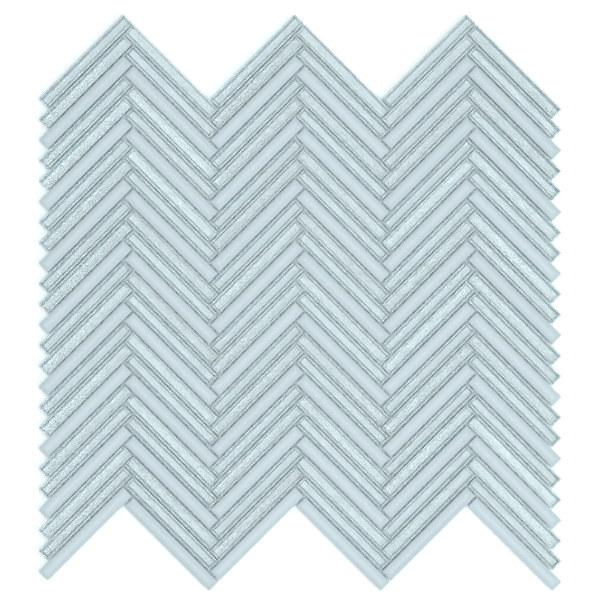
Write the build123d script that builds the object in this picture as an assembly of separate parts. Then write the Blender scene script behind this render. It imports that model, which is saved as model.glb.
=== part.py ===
from build123d import *
import os
from math import floor, sqrt

# Herringbone mosaic sheet: slim glass sticks bonded face up to an open glass-fibre mesh.
# Millimetres. X runs across the sheet, Y along its columns and Z out of its face.
# The origin is under the middle of the sheet, on the surface that the mesh lies on.

# Sticks
stick_length = 63.0
stick_width = 6.75
stick_thickness = 6.0
joint_width = 0.9
glass_arris = 0.8
glass_corner_nip = 0.5
opaque_edge_radius = 0.6

# Layout: pairs of columns, each pair leaning together like a roof
pair_count = 3
runs_per_column = 8

# From the top, a rising column repeats clear, glitter, opaque and a falling one glitter, clear, opaque.
# In these runs the layer changed the first two over: column number, then run numbers from the top.
rising_run = ("clear", "glitter", "opaque")
falling_run = ("glitter", "clear", "opaque")
changed_over = {1: (7, 8), 6: (7,)}

# Backing mesh: crosswise strands lie on the lengthwise ones
strand_width = 0.8
strand_thickness = 0.25
strand_spacing = 5.0
mesh_inset = 3.0

# Worked-out sizes. "Rise" is distance along a rising stick, up and to the right,
# and "fall" is distance along a falling stick, down and to the right.
pitch = stick_width + joint_width
pair_shift = stick_length + joint_width
sticks_per_column = runs_per_column * len(rising_run)
last_row = sticks_per_column - 1
widest_sum = pitch + 2 * stick_length + 2 * (pair_count - 1) * pair_shift
tallest_difference = stick_length + (2 * last_row + 1) * pitch + stick_width
top_point_cut = glass_corner_nip / sqrt(2)
sheet_width = widest_sum / sqrt(2)
sheet_height = tallest_difference / sqrt(2) - top_point_cut
stick_seat = 2 * strand_thickness


def on_sheet(rise, fall):
    """X and Y of a point, from its rise and fall off the left end of the topmost rising stick."""
    x = (rise + fall) / sqrt(2) - sheet_width / 2
    y = (rise - fall - stick_length) / sqrt(2) + top_point_cut + sheet_height / 2
    return x, y


def stick_place(pair, rising, row):
    """Where one stick of the interlocking lattice lies: each end butts the side of its neighbour."""
    if rising:
        rise = pair * pair_shift - row * pitch + stick_length / 2
        fall = pair * pair_shift + row * pitch + stick_width / 2
    else:
        rise = pair * pair_shift - row * pitch + stick_length - stick_width / 2
        fall = pair * pair_shift + (row + 1) * pitch + stick_length / 2
    x, y = on_sheet(rise, fall)
    return Pos(x, y, stick_seat) * Rot(0, 0, 45 if rising else -45)


def stick_blank():
    """Plain bar of the stick's full size, lying on its back."""
    return Box(stick_length, stick_width, stick_thickness, align=(Align.CENTER, Align.CENTER, Align.MIN))


def cut_glass_stick():
    """Stick cut from float glass: nipped upright corners and a fine ground arris round its face."""
    nipped = chamfer(stick_blank().edges().filter_by(Axis.Z), glass_corner_nip)
    return chamfer(nipped.faces().sort_by(Axis.Z)[-1].edges(), glass_arris)


def opaque_glass_stick():
    """Pressed opaque stick, with a soft rounded edge all round its face."""
    blank = stick_blank()
    return fillet(blank.faces().sort_by(Axis.Z)[-1].edges(), opaque_edge_radius)


def column_kinds(column, rising):
    """Kinds of stick down one column, from the top."""
    kinds = []
    for run in range(1, runs_per_column + 1):
        straight_order = run not in changed_over.get(column, ())
        kinds.extend(rising_run if rising == straight_order else falling_run)
    return kinds


def mesh_outline():
    """Zigzag outline that the mesh is trimmed to, a little inside the outer sticks."""
    left_sum = pitch + mesh_inset * sqrt(2)
    right_sum = widest_sum - left_sum
    top, bottom = [], []
    for pair in range(pair_count):
        start = pair * pair_shift
        roof_fall = start + mesh_inset
        roof_rise = start + stick_length - mesh_inset
        foot_fall = start + last_row * pitch + stick_width - mesh_inset
        foot_rise = start - last_row * pitch + stick_length - stick_width + mesh_inset
        if pair == 0:
            top.append((left_sum - roof_fall, roof_fall))
            bottom.append((left_sum - foot_fall, foot_fall))
        top.append((roof_rise, roof_fall))
        bottom.append((foot_rise, foot_fall))
        if pair < pair_count - 1:
            top.append((roof_rise, roof_fall + pair_shift))
            bottom.append((foot_rise, foot_fall + pair_shift))
        else:
            top.append((roof_rise, right_sum - roof_rise))
            bottom.append((foot_rise, right_sum - foot_rise))
    corners = [on_sheet(rise, fall) for rise, fall in top + bottom[::-1]]
    return make_face(Polyline(*corners, close=True))


def strand_offsets(span):
    """Centres of an odd number of strands, evenly spaced about the middle of the span."""
    each_side = floor((span / 2 - strand_width) / strand_spacing)
    return [strand_spacing * place for place in range(-each_side, each_side + 1)]


def mesh_strands(lengthwise):
    """One layer of the mesh, trimmed to its outline."""
    tip_inset = mesh_inset * sqrt(2)
    layer = Sketch()
    if lengthwise:
        for x in strand_offsets(sheet_width - pitch * sqrt(2) - 2 * mesh_inset):
            layer += Pos(x, 0) * Rectangle(strand_width, sheet_height)
    else:
        for y in strand_offsets(sheet_height - 2 * tip_inset):
            layer += Pos(0, y) * Rectangle(sheet_width, strand_width)
    height = 0 if lengthwise else strand_thickness
    return extrude(Pos(0, 0, height) * (layer & mesh_outline()), strand_thickness)


def write_node(name, solids):
    """Write one node as a STEP file of separate solids."""
    export_step(Compound(label=name, children=solids), f"parts/{name}.step")
    print(name, len(solids), "solids")


os.makedirs("parts", exist_ok=True)
makers = {"clear": cut_glass_stick, "glitter": cut_glass_stick, "opaque": opaque_glass_stick}
sticks = {kind: make() for kind, make in makers.items()}

for column in range(1, 2 * pair_count + 1):
    pair, second = divmod(column - 1, 2)
    rising = second == 0
    kinds = column_kinds(column, rising)
    for kind, stick in sticks.items():
        rows = [row for row, stick_kind in enumerate(kinds) if stick_kind == kind]
        placed = [stick_place(pair, rising, row) * stick for row in rows]
        write_node(f"column_{column}_{kind}_sticks", [copy.solid() for copy in placed])

write_node("mesh_lengthwise_strands", list(mesh_strands(True).solids()))
write_node("mesh_crosswise_strands", list(mesh_strands(False).solids()))
print("sheet", round(sheet_width, 2), "by", round(sheet_height, 2))
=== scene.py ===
# %% [markdown]
# # A herringbone mosaic sheet
# Slim glass sticks lie in a herringbone on an open mesh of glass fibre. Three kinds of stick take turns:
# clear glass over a plain blue coat, clear glass over a glittering coat, and opaque satin glass.
# The CAD frame already has every stick at its real size and place. This lesson dresses it: it makes
# sticks that hold real glass and real back coats, lays them where the frame says, and lights them.

# %% Load the frame
from math import atan2, cos, pi, sin

import bmesh
import bpy
import numpy as np
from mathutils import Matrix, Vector


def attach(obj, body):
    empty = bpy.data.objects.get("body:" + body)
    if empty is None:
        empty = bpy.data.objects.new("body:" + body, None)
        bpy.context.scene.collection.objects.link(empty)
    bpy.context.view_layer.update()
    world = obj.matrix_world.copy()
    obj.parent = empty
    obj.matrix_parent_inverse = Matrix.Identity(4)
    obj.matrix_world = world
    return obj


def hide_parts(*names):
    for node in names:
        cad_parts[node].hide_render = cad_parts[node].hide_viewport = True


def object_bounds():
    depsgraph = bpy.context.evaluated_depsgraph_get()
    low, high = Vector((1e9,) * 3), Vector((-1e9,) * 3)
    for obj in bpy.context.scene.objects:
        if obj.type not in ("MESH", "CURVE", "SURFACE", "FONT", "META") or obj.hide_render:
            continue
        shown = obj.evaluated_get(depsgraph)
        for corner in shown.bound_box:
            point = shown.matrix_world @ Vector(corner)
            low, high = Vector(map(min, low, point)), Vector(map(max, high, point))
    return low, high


MM = 0.001
scene = bpy.context.scene
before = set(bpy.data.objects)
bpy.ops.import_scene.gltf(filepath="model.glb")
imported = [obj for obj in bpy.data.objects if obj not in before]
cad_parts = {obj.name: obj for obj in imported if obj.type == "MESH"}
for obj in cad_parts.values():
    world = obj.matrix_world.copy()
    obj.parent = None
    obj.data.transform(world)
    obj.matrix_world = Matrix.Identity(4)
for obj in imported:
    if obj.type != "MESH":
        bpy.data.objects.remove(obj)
cad_low, cad_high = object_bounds()
print("CAD box, mm:", [round(v / MM, 1) for v in cad_high - cad_low])

# %% [markdown]
# ## Small helpers
# Colours are written as the sRGB hex codes that a colour picker shows. Shaders work in linear light,
# so one function converts them. A second one adds a node, sets it and links it in one call, which keeps
# each material as short as a recipe. A third starts a material from one Principled shader.

# %% Helpers for colours, nodes and finishes


def linear(hex_code):
    """The linear RGBA of an sRGB hex code such as #cddfe4."""
    parts = [int(hex_code[i:i + 2], 16) / 255 for i in (1, 3, 5)]
    return [p / 12.92 if p <= 0.04045 else ((p + 0.055) / 1.055) ** 2.4 for p in parts] + [1.0]


def add_node(tree, kind, inputs=None, **settings):
    """Add a node. Settings are its own properties; inputs are values, or sockets to link from."""
    node = tree.nodes.new(kind)
    for name, value in settings.items():
        setattr(node, name, value)
    for name, value in (inputs or {}).items():
        if isinstance(value, bpy.types.NodeSocket):
            tree.links.new(value, node.inputs[name])
        else:
            node.inputs[name].default_value = value
    return node


def new_finish(name, **values):
    """A material with one Principled shader set to constant values; gives it, its tree and its shader."""
    material = bpy.data.materials.new(name)
    material.use_nodes = True
    shader = material.node_tree.nodes["Principled BSDF"]
    for socket, value in values.items():
        shader.inputs[socket.replace("_", " ")].default_value = value
    return material, material.node_tree, shader


print("sRGB #808080 in linear light:", round(linear("#808080")[0], 3))

# %% [markdown]
# ## Where the sticks lie
# Each CAD node holds eight sticks of one kind in one column. Their places could be typed in again, but
# then two files would have to agree. Reading them from the frame needs no coordinates at all: every
# island of a node's mesh is one piece, its longest direction is the way it lies, and its extents are
# its size.

# %% Read the pieces of a CAD node


def islands(node):
    """The points of each separate solid in a CAD node, from the top of the sheet down."""
    copy = bmesh.new()
    copy.from_mesh(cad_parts[node].data)
    bmesh.ops.remove_doubles(copy, verts=copy.verts, dist=0.001 * MM)
    left, found = set(copy.verts), []
    while left:
        ends, points = [left.pop()], []
        while ends:
            vertex = ends.pop()
            points.append(vertex.co[:])
            near = {edge.other_vert(vertex) for edge in vertex.link_edges} & left
            left -= near
            ends.extend(near)
        found.append(np.array(points))
    copy.free()
    return sorted(found, key=lambda points: (-points[:, 1].mean(), points[:, 0].mean()))


def measure(points):
    """A piece's middle at its underside, the angle that it lies at, and its length, width and thickness."""
    spread = points[:, :2] - points[:, :2].mean(0)
    along = np.linalg.svd(spread, full_matrices=False)[2][0]
    along = along if along[0] > 0 else -along
    across = np.array([-along[1], along[0]])
    length, width = points[:, :2] @ along, points[:, :2] @ across
    middle = along * (length.min() + length.max()) / 2 + across * (width.min() + width.max()) / 2
    size = [np.ptp(length), np.ptp(width), np.ptp(points[:, 2])]
    return [*middle, points[:, 2].min()], atan2(along[1], along[0]), size


stick_nodes = sorted(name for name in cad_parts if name.endswith("_sticks"))
places = {name: [measure(points) for points in islands(name)] for name in stick_nodes}
stick_length, stick_width, stick_thickness = places[stick_nodes[0]][0][2]
print(len(places), "nodes,", sum(len(p) for p in places.values()), "sticks of mm",
      [round(v / MM, 2) for v in (stick_length, stick_width, stick_thickness)])

# %% [markdown]
# ## One stick of each shape
# A stick is a stack of rings. Each ring is the stick's outline, drawn in by an inset, at a height above
# its back, and neighbouring rings are joined by a band of faces. The clear sticks were cut from float
# glass: corners nipped straight, and a flat arris round the face. The opaque ones were pressed: round
# corners, a soft edge and a slightly crowned face. One function makes both from their rings, and numbers
# each surface as face, arris, side or back by its slope, so that a finish can be laid on by number later.
# It also stores a map of the stick, lengthwise and crosswise from 0 to 1, for patterns that follow it.

# %% A stick from its rings
FACE, ARRIS, SIDE, BACK = range(4)
# How far up a face looks, from 1 for level to 0 for upright, where one kind of surface ends
LEVEL, UPRIGHT = 0.9, 0.1
LEAST_CORNER = 0.03 * MM


def outline(inset, corner, steps):
    """Points round the stick, drawn in by the inset, with its corners cut or rounded in some steps."""
    cut = max(corner - inset, LEAST_CORNER)
    half_length = stick_length / 2 - inset - cut
    half_width = stick_width / 2 - inset - cut
    points = []
    for quarter, (side_x, side_y) in enumerate(((1, 1), (-1, 1), (-1, -1), (1, -1))):
        for step in range(steps + 1):
            angle = (quarter + step / steps) * pi / 2
            points.append((side_x * half_length + cut * cos(angle),
                           side_y * half_width + cut * sin(angle)))
    return points


def stick_shape(name, rings, corner, steps, smooth):
    """A stick to copy from, built up from rings of (inset, height)."""
    mesh = bmesh.new()
    surface = mesh.faces.layers.int.new("surface")
    stick_map = mesh.loops.layers.uv.new("stick_map")
    loops = [[mesh.verts.new((x, y, height)) for x, y in outline(inset, corner, steps)]
             for inset, height in rings]
    mesh.faces.new(loops[0][::-1])
    mesh.faces.new(loops[-1])
    for lower, upper in zip(loops, loops[1:]):
        for i in range(len(lower)):
            mesh.faces.new((lower[i - 1], lower[i], upper[i], upper[i - 1]))
    mesh.normal_update()
    for face in mesh.faces:
        up = face.normal.z
        face.smooth = smooth and up > -UPRIGHT
        face[surface] = FACE if up > LEVEL else ARRIS if up > UPRIGHT else SIDE if up > -LEVEL else BACK
        for loop in face.loops:
            x, y, _ = loop.vert.co
            loop[stick_map].uv = (x / stick_length + 0.5, y / stick_width + 0.5)
    for edge in mesh.edges:
        edge.smooth = all(face.smooth for face in edge.link_faces)
    data = bpy.data.meshes.new(name)
    mesh.to_mesh(data)
    mesh.free()
    return bpy.data.objects.new(name, data)


print("points round a stick with nipped corners:", len(outline(0.0, 0.0, steps=1)))

# %% The cut stick and the pressed stick
# A film of glue holds each stick this far off the strands
GLUE_FILM = 0.02 * MM
BACK_SEAM = 0.15 * MM
GLASS_ARRIS = 0.8 * MM
GLASS_NIP = 0.5 * MM
cut_rings = [
    (BACK_SEAM, GLUE_FILM),
    (0.0, GLUE_FILM + BACK_SEAM),
    (0.0, stick_thickness - GLASS_ARRIS),
    (GLASS_ARRIS, stick_thickness),
]
cut_stick = stick_shape("cut_glass_stick", cut_rings, GLASS_NIP, steps=1, smooth=False)

PRESSED_EDGE = 0.6 * MM
PRESSED_CROWN = 0.12 * MM
PRESSED_CORNER = 0.4 * MM
EDGE_STEPS, CROWN_STEPS = 3, 2
shoulder = stick_thickness - PRESSED_CROWN
pressed_rings = [(BACK_SEAM, GLUE_FILM), (0.0, GLUE_FILM + BACK_SEAM)]
for step in range(EDGE_STEPS + 1):
    angle = step / EDGE_STEPS * pi / 2
    pressed_rings.append((PRESSED_EDGE * (1 - cos(angle)), shoulder - PRESSED_EDGE * (1 - sin(angle))))
for step in range(1, CROWN_STEPS + 1):
    share = step / CROWN_STEPS
    inset = PRESSED_EDGE + share * (stick_width / 2 - PRESSED_EDGE - PRESSED_CORNER)
    pressed_rings.append((inset, shoulder + PRESSED_CROWN * (1 - (1 - share) ** 2)))
pressed_stick = stick_shape("pressed_opaque_stick", pressed_rings, PRESSED_CORNER, steps=2, smooth=True)
print("faces a stick:", len(cut_stick.data.polygons), "cut and",
      len(pressed_stick.data.polygons), "pressed")

# %% [markdown]
# ## Clear glass
# Float glass is smooth and faintly green. Its face is polished and shows what lies under it. Its cut
# sides were only ground, so they are matt, pale green walls that let little light through, and that is
# why each clear stick sits in a dark outline. The arris was ground with a finer stone: it still shows the
# coat, but it is hazy and catches light, and draws a light rim inside the outline. Glass on all faces
# with one shader would pass light from stick to stick and lose both lines, so each gets its own finish.

# %% Polished, hazy and ground glass
FLOAT_GLASS_IOR = 1.52
SMEAR_SIZE = 9 * MM
# Real grit marks are finer; these are as coarse as a close view needs to show them
GRIT_SIZE = 0.5 * MM
# The share of light that goes through the hazy arris; the rest is scattered
CLEAR_SHARE = 0.58


def polished_glass():
    """Polished float glass. It gives the eye a clear depth, down to the coat on the back."""
    material, tree, shader = new_finish(
        "polished_float_glass", Base_Color=linear("#f2f9fb"), IOR=FLOAT_GLASS_IOR,
        Transmission_Weight=1.0)
    place = add_node(tree, "ShaderNodeTexCoord")
    smears = add_node(tree, "ShaderNodeTexNoise",
                      {"Vector": place.outputs["Object"], "Scale": 1 / SMEAR_SIZE, "Detail": 3.0})
    gloss = add_node(tree, "ShaderNodeMapRange",
                     {"Value": smears.outputs["Fac"], "To Min": 0.02, "To Max": 0.06})
    tree.links.new(gloss.outputs["Result"], shader.inputs["Roughness"])
    return material


def hazy_glass():
    """Finely ground float glass. It gives the eye a light, hazy rim with the coat dim under it."""
    return new_finish("fine_ground_float_glass", Base_Color=linear("#f2f9fb"), Roughness=0.05,
                      IOR=FLOAT_GLASS_IOR, Transmission_Weight=CLEAR_SHARE)[0]


def ground_glass():
    """Ground float glass. It gives the eye a matt green wall with the fine grain of the grinding wheel."""
    material, tree, shader = new_finish(
        "ground_float_glass", Roughness=0.6, IOR=1.0, Specular_IOR_Level=0.0)
    place = add_node(tree, "ShaderNodeTexCoord")
    grit = add_node(tree, "ShaderNodeTexNoise",
                    {"Vector": place.outputs["Object"], "Scale": 1 / GRIT_SIZE, "Detail": 4.0})
    tint = add_node(tree, "ShaderNodeValToRGB", {"Fac": grit.outputs["Fac"]})
    tint.color_ramp.elements[0].color = linear("#b3d0d3")
    tint.color_ramp.elements[1].color = linear("#d4e9eb")
    tree.links.new(tint.outputs["Color"], shader.inputs["Base Color"])
    return material


polished, hazy, ground = polished_glass(), hazy_glass(), ground_glass()
print("finishes:", polished.name, hazy.name, ground.name)

# %% [markdown]
# ## The coats behind the glass
# A coat is screened on the back of a clear stick. Near the cut its colour is painted darker, a grey-teal
# band of painted shade where the ground walls shade the coat, and painted lightest just inside that band.
# The stick's own map gives the distance to the nearest edge, and a ramp over that distance paints the band.
# The enamel wets the glass, so there is no reflecting surface between them: its IOR is 1.

# %% Distance from the stick's edge


def edge_distance(tree, middle=0.5, longer=0.0):
    """A socket with the distance to the nearest edge, in mm.

    A ramp over it can have its middle elsewhere across the stick, and can reach this much less far in at
    each end.
    """
    place = add_node(tree, "ShaderNodeUVMap", uv_map="stick_map")
    parts = add_node(tree, "ShaderNodeSeparateXYZ", {"Vector": place.outputs["UV"]})
    reaches = []
    for axis, size, centre, more in (("X", stick_length / MM, 0.5, longer / MM),
                                     ("Y", stick_width / MM, middle, 0.0)):
        off_middle = add_node(tree, "ShaderNodeMath", {0: parts.outputs[axis], 1: centre},
                              operation="SUBTRACT")
        to_side = add_node(tree, "ShaderNodeMath", {0: off_middle.outputs[0]}, operation="ABSOLUTE")
        reach = add_node(tree, "ShaderNodeMath", {0: to_side.outputs[0], 1: -size, 2: size / 2 + more},
                         operation="MULTIPLY_ADD")
        reaches.append(reach.outputs[0])
    nearest = add_node(tree, "ShaderNodeMath", {0: reaches[0], 1: reaches[1]}, operation="MINIMUM")
    return nearest.outputs[0]


def by_distance(tree, distance, stops):
    """A socket with colours by distance from the edge. Stops are (millimetres, colour), the first at 0."""
    reach = stops[-1][0]
    share = add_node(tree, "ShaderNodeMath", {0: distance, 1: reach}, operation="DIVIDE")
    ramp = add_node(tree, "ShaderNodeValToRGB", {"Fac": share.outputs[0]})
    made = ramp.color_ramp.elements
    while len(made) < len(stops):
        made.new(1.0)
    for element, (millimetres, colour) in zip(made, stops):
        element.position = millimetres / reach
        element.color = linear(colour)
    return ramp.outputs["Color"]


def times(tree, colour, other):
    """A socket with two colours, or a colour and a grey value, multiplied."""
    return add_node(tree, "ShaderNodeMix", {"Factor": 1.0, "A": colour, "B": other},
                    data_type="RGBA", blend_type="MULTIPLY").outputs["Result"]


print("farthest from an edge on a stick, mm:", round(stick_width / 2 / MM, 2))

# %% Plain blue coat
# Painted shade: the colour of a coat along its edges, where the ground walls shade it
COAT_EDGE_SHADE = "#a9c5cb"
# The painted edge shade reaches this much less far in from the stick's ends than from its sides
END_REACH = 0.45 * MM
CLOUD_SIZE = 5 * MM


def blue_coat():
    """Pale blue enamel fired on the back. It gives the eye an even, milky blue inside a grey-teal band of
    painted shade.
    """
    material, tree, shader = new_finish(
        "pale_blue_back_enamel", Roughness=0.5, Specular_IOR_Level=0.0, IOR=1.0)
    # Painted shade near the cut, painted lightest just inside it, a little deeper again in the middle
    coat = by_distance(tree, edge_distance(tree, longer=END_REACH),
                       [(0.0, COAT_EDGE_SHADE), (1.75, COAT_EDGE_SHADE), (1.95, "#ffffff"), (2.5, "#f5fcfd"),
                        (3.2, "#eef7fa")])
    place = add_node(tree, "ShaderNodeTexCoord")
    clouds = add_node(tree, "ShaderNodeTexNoise",
                      {"Vector": place.outputs["Object"], "Scale": 1 / CLOUD_SIZE, "Detail": 2.0})
    cloudy = add_node(tree, "ShaderNodeMapRange", {"Value": clouds.outputs["Fac"], "To Min": 0.96})
    tone = add_node(tree, "ShaderNodeAttribute", attribute_name="tone")
    toned = add_node(tree, "ShaderNodeMapRange", {"Value": tone.outputs["Fac"], "To Min": 0.95})
    coat = times(tree, times(tree, coat, cloudy.outputs["Result"]), toned.outputs["Result"])
    tree.links.new(coat, shader.inputs["Base Color"])
    return material


enamel = blue_coat()
print("finish:", enamel.name, "of", len(enamel.node_tree.nodes), "nodes")

# %% Glitter coat
# Real flakes are finer; these are as coarse as the render needs to show them
FLAKE_SIZE = 0.9 * MM
FLAKE_TILT = 0.1
# The painted edge shade on this coat isn't centred on its stick: its middle moves towards the middle of the
# sheet, by this share of the distance from there, so the painted shade is wider on the side away from it
SHADE_DRIFT = 0.0038


def glitter_coat():
    """Silver flake lacquer on the back. It gives the eye a whiter stick with a fine mottled sparkle, inside
    a band of painted shade.
    """
    material, tree, shader = new_finish(
        "silver_flake_back_lacquer", Roughness=0.45, Metallic=0.1, IOR=1.0, Specular_IOR_Level=0.0)
    place = add_node(tree, "ShaderNodeTexCoord")
    across = add_node(tree, "ShaderNodeSeparateXYZ", {"Vector": place.outputs["Object"]})
    # The band of painted shade moves across the stick with the stick's place on the sheet
    shade_drift = SHADE_DRIFT / stick_width
    middle = add_node(tree, "ShaderNodeMath", {0: across.outputs["X"], 1: shade_drift, 2: 0.5},
                      operation="MULTIPLY_ADD")
    # Painted shade near the cut, narrower than on the blue coat, then painted lightest just inside it
    coat = by_distance(tree, edge_distance(tree, middle.outputs[0], END_REACH),
                       [(0.0, COAT_EDGE_SHADE), (1.3, COAT_EDGE_SHADE), (1.5, "#feffff"), (2.3, "#f5fafb"),
                        (3.2, "#eff6f7")])
    flakes = add_node(tree, "ShaderNodeTexVoronoi",
                      {"Vector": place.outputs["Object"], "Scale": 1 / FLAKE_SIZE})
    flake = add_node(tree, "ShaderNodeSeparateColor", {"Color": flakes.outputs["Color"]})
    glint = add_node(tree, "ShaderNodeValToRGB", {"Fac": flake.outputs["Red"]})
    glint.color_ramp.elements[0].color = linear("#eaf1f1")
    glint.color_ramp.elements[1].color = linear("#fdffff")
    tone = add_node(tree, "ShaderNodeAttribute", attribute_name="tone")
    toned = add_node(tree, "ShaderNodeMapRange", {"Value": tone.outputs["Fac"], "To Min": 0.86})
    coat = times(tree, times(tree, coat, glint.outputs["Color"]), toned.outputs["Result"])
    tree.links.new(coat, shader.inputs["Base Color"])
    centred = add_node(tree, "ShaderNodeVectorMath",
                       {0: flakes.outputs["Color"], 1: (0.5, 0.5, 0.5)}, operation="SUBTRACT")
    tilt = add_node(tree, "ShaderNodeVectorMath", {0: centred.outputs["Vector"], "Scale": FLAKE_TILT},
                    operation="SCALE")
    level = add_node(tree, "ShaderNodeNewGeometry")
    tilted = add_node(tree, "ShaderNodeVectorMath",
                      {0: level.outputs["Normal"], 1: tilt.outputs["Vector"]}, operation="ADD")
    facing = add_node(tree, "ShaderNodeVectorMath", {0: tilted.outputs["Vector"]}, operation="NORMALIZE")
    tree.links.new(facing.outputs["Vector"], shader.inputs["Normal"])
    return material


lacquer = glitter_coat()
print("finish:", lacquer.name, "of", len(lacquer.node_tree.nodes), "nodes")

# %% [markdown]
# ## Opaque glass
# The third kind of stick is pale blue glass that is opaque right through, with an acid-satin skin. Its
# colour is painted a shade deeper just inside the rounded shoulders than in the middle, as painted shade,
# and painted lighter again right at the edge, as painted light against the rounded edge's own shading.
# A ramp over the distance from the edge paints both, without noise.

# %% Satin opaque glass
# The etched grain is really finer; this is as coarse as the render needs to show it
SATIN_GRAIN = 1.5 * MM


def satin_glass():
    """Satin opal glass. It gives the eye a smooth, soft-edged blue with no depth and a broad dull sheen."""
    material, tree, shader = new_finish("satin_opal_glass", IOR=FLOAT_GLASS_IOR)
    # Painted light right at the edge, painted shade just inside the shoulders, lighter again in the middle
    glass = by_distance(tree, edge_distance(tree),
                        [(0.0, "#c2d3d8"), (0.7, "#b1c2c8"), (1.4, "#aec0c6"), (3.2, "#b9cbd1")])
    place = add_node(tree, "ShaderNodeTexCoord")
    clouds = add_node(tree, "ShaderNodeTexNoise",
                      {"Vector": place.outputs["Object"], "Scale": 1 / SATIN_GRAIN, "Detail": 3.0})
    cloudy = add_node(tree, "ShaderNodeMapRange",
                      {"Value": clouds.outputs["Fac"], "From Min": 0.3, "From Max": 0.7, "To Min": 0.94})
    tone = add_node(tree, "ShaderNodeAttribute", attribute_name="tone")
    toned = add_node(tree, "ShaderNodeMapRange", {"Value": tone.outputs["Fac"], "To Min": 0.96})
    glass = times(tree, times(tree, glass, cloudy.outputs["Result"]), toned.outputs["Result"])
    tree.links.new(glass, shader.inputs["Base Color"])
    satin = add_node(tree, "ShaderNodeMapRange",
                     {"Value": clouds.outputs["Fac"], "To Min": 0.38, "To Max": 0.48})
    tree.links.new(satin.outputs["Result"], shader.inputs["Roughness"])
    return material


opal = satin_glass()
print("finish:", opal.name, "of", len(opal.node_tree.nodes), "nodes")

# %% [markdown]
# ## Laying the sticks
# A hundred and forty-four copies are a job for Geometry Nodes: points stand at the sticks' places, a
# stick is instanced on each point at its lean and gets a chance tone of its own, and the instances are
# made real and finished by the numbers on their faces. The result is turned into a plain mesh, one for
# each CAD node, which it stands for.

# %% A node tree that lays sticks on points
FINISHED = ("Face finish", "Arris finish", "Side finish", "Back finish")


def laying_tree():
    """Geometry Nodes that lay one stick on each point and finish its face, arris, sides and back."""
    tree = bpy.data.node_groups.new("lay_sticks", "GeometryNodeTree")
    tree.interface.new_socket("Places", in_out="INPUT", socket_type="NodeSocketGeometry")
    tree.interface.new_socket("Stick", in_out="INPUT", socket_type="NodeSocketObject")
    tree.interface.new_socket("Seed", in_out="INPUT", socket_type="NodeSocketInt")
    for finish in FINISHED:
        tree.interface.new_socket(finish, in_out="INPUT", socket_type="NodeSocketMaterial")
    tree.interface.new_socket("Sticks", in_out="OUTPUT", socket_type="NodeSocketGeometry")
    given = add_node(tree, "NodeGroupInput")
    stick = add_node(tree, "GeometryNodeObjectInfo", {"Object": given.outputs["Stick"]})
    lean = add_node(tree, "GeometryNodeInputNamedAttribute", {"Name": "lean"}, data_type="FLOAT")
    turn = add_node(tree, "ShaderNodeCombineXYZ", {"Z": lean.outputs["Attribute"]})
    laid = add_node(tree, "GeometryNodeInstanceOnPoints",
                    {"Points": given.outputs["Places"], "Instance": stick.outputs["Geometry"],
                     "Rotation": turn.outputs["Vector"]})
    chance = add_node(tree, "FunctionNodeRandomValue", {"Seed": given.outputs["Seed"]}, data_type="FLOAT")
    toned = add_node(tree, "GeometryNodeStoreNamedAttribute",
                     {"Geometry": laid.outputs["Instances"], "Name": "tone", "Value": chance.outputs[1]},
                     data_type="FLOAT", domain="INSTANCE")
    real = add_node(tree, "GeometryNodeRealizeInstances", {"Geometry": toned.outputs["Geometry"]})
    surface = add_node(tree, "GeometryNodeInputNamedAttribute", {"Name": "surface"}, data_type="INT")
    shown = real.outputs["Geometry"]
    for number, finish in zip((FACE, ARRIS, SIDE, BACK), FINISHED):
        here = add_node(tree, "FunctionNodeCompare", {2: surface.outputs["Attribute"], 3: number},
                        data_type="INT", operation="EQUAL")
        painted = add_node(tree, "GeometryNodeSetMaterial",
                           {"Geometry": shown, "Selection": here.outputs["Result"],
                            "Material": given.outputs[finish]})
        shown = painted.outputs["Geometry"]
    add_node(tree, "NodeGroupOutput", {"Sticks": shown})
    return tree


def made_by(tree, name, start, values):
    """A plain mesh object that a node tree makes from a starting mesh. Values go in by input name."""
    piece = bpy.data.objects.new(name, start)
    scene.collection.objects.link(piece)
    maker = piece.modifiers.new(tree.name, "NODES")
    maker.node_group = tree
    for socket in tree.interface.items_tree:
        if socket.in_out == "INPUT" and socket.name in values:
            maker[socket.identifier] = values[socket.name]
    evaluated = piece.evaluated_get(bpy.context.evaluated_depsgraph_get())
    mesh = bpy.data.meshes.new_from_object(evaluated)
    piece.modifiers.remove(maker)
    piece.data = mesh
    return piece


lay_sticks = laying_tree()
print(lay_sticks.name, "takes", [socket.name for socket in lay_sticks.interface.items_tree
                                 if socket.in_out == "INPUT"])

# %% Lay every column
FIRST_SEED = 418
kinds = {
    "clear": (cut_stick, (polished, hazy, ground, enamel)),
    "glitter": (cut_stick, (polished, hazy, ground, lacquer)),
    "opaque": (pressed_stick, (opal, opal, opal, opal)),
}
for seed, node in enumerate(stick_nodes, FIRST_SEED):
    kind = node.split("_")[2]
    stick, finishes = kinds[kind]
    points = bpy.data.meshes.new(node + "_places")
    points.from_pydata([place for place, _, _ in places[node]], [], [])
    lean = points.attributes.new("lean", "FLOAT", "POINT")
    lean.data.foreach_set("value", [angle if angle > 0 else angle + pi for _, angle, _ in places[node]])
    piece = made_by(lay_sticks, node + "_laid", points,
                    {"Stick": stick, "Seed": seed, **dict(zip(FINISHED, finishes))})
    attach(piece, "root")
    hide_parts(node)
print("last piece:", piece.name, len(piece.data.polygons), "faces,",
      [attribute.name for attribute in piece.data.attributes if not attribute.is_internal])

# %% [markdown]
# ## The mesh underneath
# The sticks are glued to a scrim: strands of glass fibre, each a flat bundle of fine filaments in resin,
# laid lengthwise and crosswise. The frame has them as square bars. Here each bar becomes a line between
# its two ends, and Geometry Nodes sweep a round-edged section along it. The filaments are left to the
# material.

# %% Fibre finish
# Real filaments are finer; these are as coarse as a close view needs to show them
FILAMENT_WIDTH = 0.09 * MM
FILAMENT_LENGTH = 8 * MM


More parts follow.
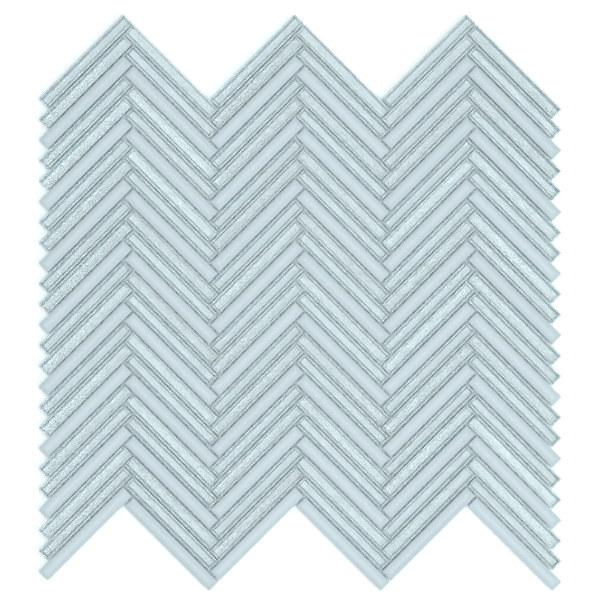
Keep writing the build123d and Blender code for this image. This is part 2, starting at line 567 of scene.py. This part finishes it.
def fibre(name, lengthwise):
    """Glass fibre in a milky resin size. It gives the eye dull white strands with fine lengthwise lines."""
    material, tree, shader = new_finish(name, IOR=1.5)
    place = add_node(tree, "ShaderNodeTexCoord")
    across, along = 1 / FILAMENT_WIDTH, 1 / FILAMENT_LENGTH
    stretch = (across, along, across) if lengthwise else (along, across, across)
    drawn = add_node(tree, "ShaderNodeMapping", {"Vector": place.outputs["Object"], "Scale": stretch})
    filaments = add_node(tree, "ShaderNodeTexNoise", {"Vector": drawn.outputs["Vector"], "Scale": 1.0})
    tint = add_node(tree, "ShaderNodeValToRGB", {"Fac": filaments.outputs["Fac"]})
    tint.color_ramp.elements[0].color = linear("#cbd6d9")
    tint.color_ramp.elements[1].color = linear("#ecf3f4")
    tree.links.new(tint.outputs["Color"], shader.inputs["Base Color"])
    dull = add_node(tree, "ShaderNodeMapRange",
                    {"Value": filaments.outputs["Fac"], "To Min": 0.5, "To Max": 0.75})
    tree.links.new(dull.outputs["Result"], shader.inputs["Roughness"])
    ridges = add_node(tree, "ShaderNodeBump",
                      {"Height": filaments.outputs["Fac"], "Strength": 0.4, "Distance": FILAMENT_WIDTH})
    tree.links.new(ridges.outputs["Normal"], shader.inputs["Normal"])
    return material


layers = {
    "mesh_lengthwise_strands": fibre("glass_fibre_lengthwise", lengthwise=True),
    "mesh_crosswise_strands": fibre("glass_fibre_crosswise", lengthwise=False),
}
print("finishes:", [finish.name for finish in layers.values()])

# %% A node tree that sweeps strands along lines
STRAND_EDGE = 0.11 * MM


def strand_tree():
    """Geometry Nodes that sweep a flat, round-edged strand along every edge of the mesh they are given."""
    tree = bpy.data.node_groups.new("sweep_strands", "GeometryNodeTree")
    tree.interface.new_socket("Lines", in_out="INPUT", socket_type="NodeSocketGeometry")
    tree.interface.new_socket("Width", in_out="INPUT", socket_type="NodeSocketFloat")
    tree.interface.new_socket("Thickness", in_out="INPUT", socket_type="NodeSocketFloat")
    tree.interface.new_socket("Finish", in_out="INPUT", socket_type="NodeSocketMaterial")
    tree.interface.new_socket("Strands", in_out="OUTPUT", socket_type="NodeSocketGeometry")
    given = add_node(tree, "NodeGroupInput")
    lines = add_node(tree, "GeometryNodeMeshToCurve", {"Mesh": given.outputs["Lines"]})
    level = add_node(tree, "GeometryNodeSetCurveNormal", {"Curve": lines.outputs["Curve"]}, mode="Z_UP")
    bar = add_node(tree, "GeometryNodeCurvePrimitiveQuadrilateral",
                   {"Width": given.outputs["Width"], "Height": given.outputs["Thickness"]})
    section = add_node(tree, "GeometryNodeFilletCurve",
                       {"Curve": bar.outputs["Curve"], "Radius": STRAND_EDGE, "Count": 2}, mode="POLY")
    swept = add_node(tree, "GeometryNodeCurveToMesh",
                     {"Curve": level.outputs["Curve"], "Profile Curve": section.outputs["Curve"],
                      "Fill Caps": True})
    real = add_node(tree, "GeometryNodeRealizeInstances", {"Geometry": swept.outputs["Mesh"]})
    smooth = add_node(tree, "GeometryNodeSetShadeSmooth", {"Geometry": real.outputs["Geometry"]})
    done = add_node(tree, "GeometryNodeSetMaterial",
                    {"Geometry": smooth.outputs["Geometry"], "Material": given.outputs["Finish"]})
    add_node(tree, "NodeGroupOutput", {"Strands": done.outputs["Geometry"]})
    return tree


sweep_strands = strand_tree()
print(sweep_strands.name, "has", len(sweep_strands.nodes), "nodes")

# %% Sweep both layers of strands
for node, finish in layers.items():
    run = 1 if "lengthwise" in node else 0
    ends, width, thickness = [], 0.0, 0.0
    for points in islands(node):
        low, high = points.min(0), points.max(0)
        middle = (low + high) / 2
        reach = np.eye(3)[run] * (high - low)[run] / 2
        ends += [middle - reach, middle + reach]
        width, thickness = max(width, (high - low)[1 - run]), (high - low)[2]
    lines = bpy.data.meshes.new(node + "_lines")
    lines.from_pydata(ends, [(i, i + 1) for i in range(0, len(ends), 2)], [])
    piece = made_by(sweep_strands, node + "_swept", lines,
                    {"Width": width, "Thickness": thickness, "Finish": finish})
    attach(piece, "root")
    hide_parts(node)
    print(node, len(ends) // 2, "strands", round(width / MM, 2), "by", round(thickness / MM, 2), "mm")

# %% [markdown]
# ## Floor and light
# The sheet lies on a white table that glows a little, so that the table burns out to plain white
# and the sheet's own shadow fades, as in a catalogue picture. A large soft box hangs overhead. Light from
# there goes straight down into the glass and lights the coats. A strip at the right throws the shadow of
# each wall on the coat beside it in the rising columns, but shines nearly along the falling ones, so the
# two leans of the herringbone look different. A dim white room fills the rest.

# %% White table
FLOOR_HALF = 3.0
FLOOR_GLOW = 0.06
corners = [(-FLOOR_HALF, -FLOOR_HALF, 0), (FLOOR_HALF, -FLOOR_HALF, 0),
           (FLOOR_HALF, FLOOR_HALF, 0), (-FLOOR_HALF, FLOOR_HALF, 0)]
floor_mesh = bpy.data.meshes.new("floor")
floor_mesh.from_pydata(corners, [], [(0, 1, 2, 3)])
floor_finish = new_finish("white_table", Base_Color=linear("#f2f9fa"), Roughness=0.9,
                          Emission_Color=linear("#ffffff"), Emission_Strength=FLOOR_GLOW)[0]
floor_mesh.materials.append(floor_finish)
floor = bpy.data.objects.new("floor", floor_mesh)
scene.collection.objects.link(floor)
print("table, m:", [round(v, 1) for v in floor.dimensions])

# %% Soft boxes and room
ROOM_LIGHT = 0.45


def soft_box(name, place, width, height, watts):
    """A soft box that faces the sheet."""
    lamp = bpy.data.lights.new(name, "AREA")
    lamp.shape = "RECTANGLE"
    lamp.size, lamp.size_y = width, height
    lamp.energy = watts
    holder = bpy.data.objects.new(name, lamp)
    holder.location = place
    holder.rotation_mode = "QUATERNION"
    holder.rotation_quaternion = (-Vector(place)).to_track_quat("-Z", "Y")
    scene.collection.objects.link(holder)


soft_box("overhead", (0.0, 0.0, 2.3), width=1.6, height=1.6, watts=34)
soft_box("strip_at_right", (1.15, -0.54, 1.7), width=0.9, height=0.45, watts=10)
room = bpy.data.worlds.new("white_room")
room.use_nodes = True
room.node_tree.nodes["Background"].inputs["Color"].default_value = linear("#ffffff")
room.node_tree.nodes["Background"].inputs["Strength"].default_value = ROOM_LIGHT
scene.world = room

# %% [markdown]
# ## Camera
# The picture was taken straight from above and from far away. A long lens two metres up sees the sheet
# almost without perspective. Its focal length follows from one fact, how many pixels show a millimetre.
# The sheet's middle lies a little below the picture's middle, so the camera stands that much higher.

# %% Camera straight above
PHOTO_SIDE = 600
PIXELS_PER_MM = 1.9
PIXELS_LOW = 3
CAMERA_HEIGHT = 2.0
lens = bpy.data.cameras.new("camera")
lens.sensor_width = 36.0
lens.lens = lens.sensor_width * CAMERA_HEIGHT / (PHOTO_SIDE / PIXELS_PER_MM * MM)
camera = bpy.data.objects.new("camera", lens)
camera.location = (0, PIXELS_LOW / PIXELS_PER_MM * MM, cad_high.z + CAMERA_HEIGHT)
scene.collection.objects.link(camera)
scene.camera = camera
print("lens, mm:", round(lens.lens, 1))

# %% [markdown]
# ## Light paths in glass
# Light that enters a stick bounces between its coat and its face many times before it leaves. With the
# usual limits much of it would be lost and the coats would look dull, so the paths may be longer, and
# the blur that is usually put on glass behind a matt surface is off. The plain Standard view keeps the
# colours as they were mixed.

# %% Longer light paths
scene.cycles.blur_glossy = 0.0
scene.cycles.max_bounces = 32
scene.cycles.diffuse_bounces = 12
scene.cycles.glossy_bounces = 16
scene.cycles.transmission_bounces = 32
scene.view_settings.view_transform = "Standard"
print("bounces in glass:", scene.cycles.transmission_bounces)
